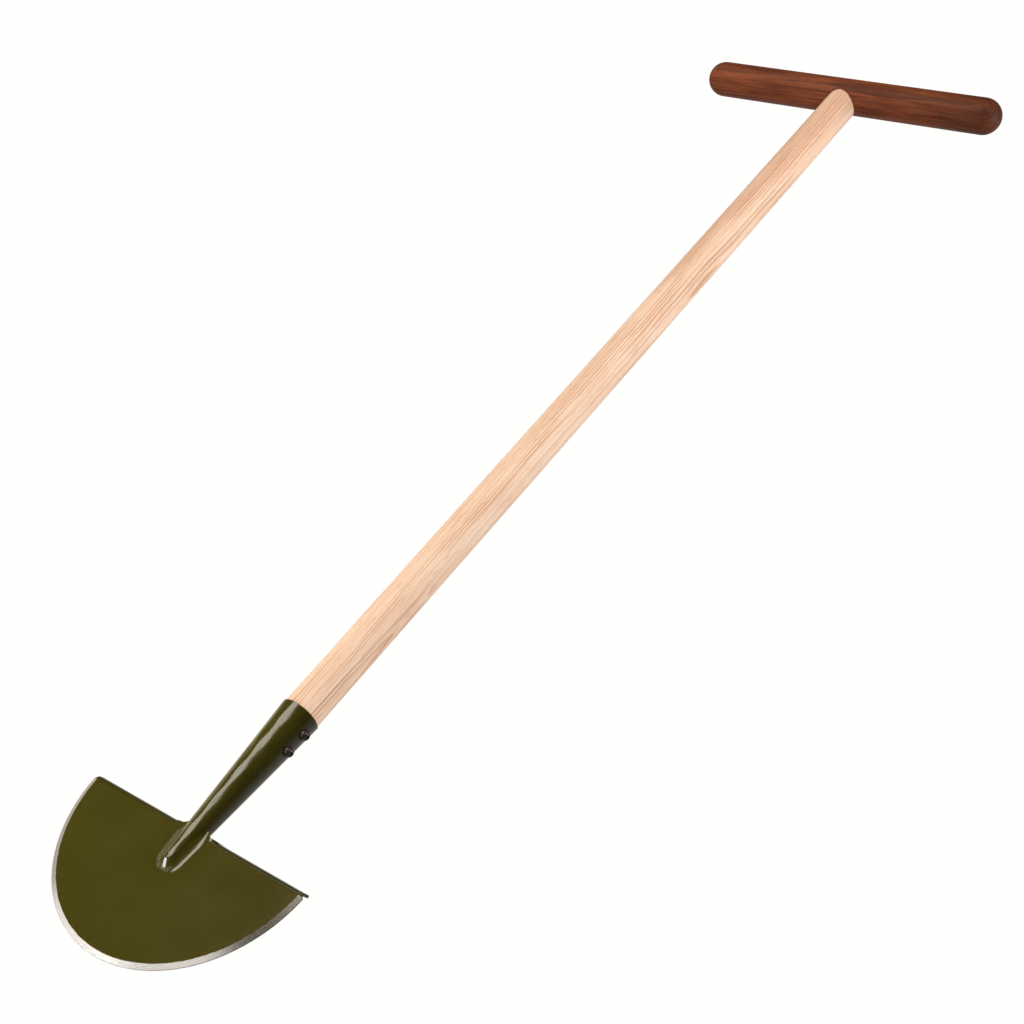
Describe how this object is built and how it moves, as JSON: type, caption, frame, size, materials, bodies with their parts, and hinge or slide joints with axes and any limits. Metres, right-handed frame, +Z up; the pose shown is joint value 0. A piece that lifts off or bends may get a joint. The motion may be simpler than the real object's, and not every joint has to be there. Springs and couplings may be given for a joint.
{
  "type": "half moon edger",
  "caption": "Lawn edging iron: half moon steel blade with folded foot treads and a rolled conical socket, on a straight ash shaft with a walnut T-handle.",
  "frame": {"origin": "lowest point of the cutting edge, on the shaft's axis", "axes": "+Z up the shaft to the handle, +Y towards the back of the blade, +X along the handle to the right as seen from the blade's front"},
  "size_m": [0.314, 0.034, 1.066],
  "materials": {
    "painted_steel": "gloss olive paint, with the ground bevel of the cutting edge left bare",
    "ash": "sanded and oiled pale ash",
    "walnut": "oiled dark walnut with a soft sheen",
    "black_screw": "black lacquered steel, satin",
    "zinc_screw": "zinc plated"
  },
  "bodies": {
    "root": {"head": "painted_steel", "shaft": "ash", "handle": "walnut", "upper_socket_screw": "black_screw", "lower_socket_screw": "black_screw", "handle_screw": "zinc_screw", "handle_plug": "walnut"}
  },
  "joints": []
}
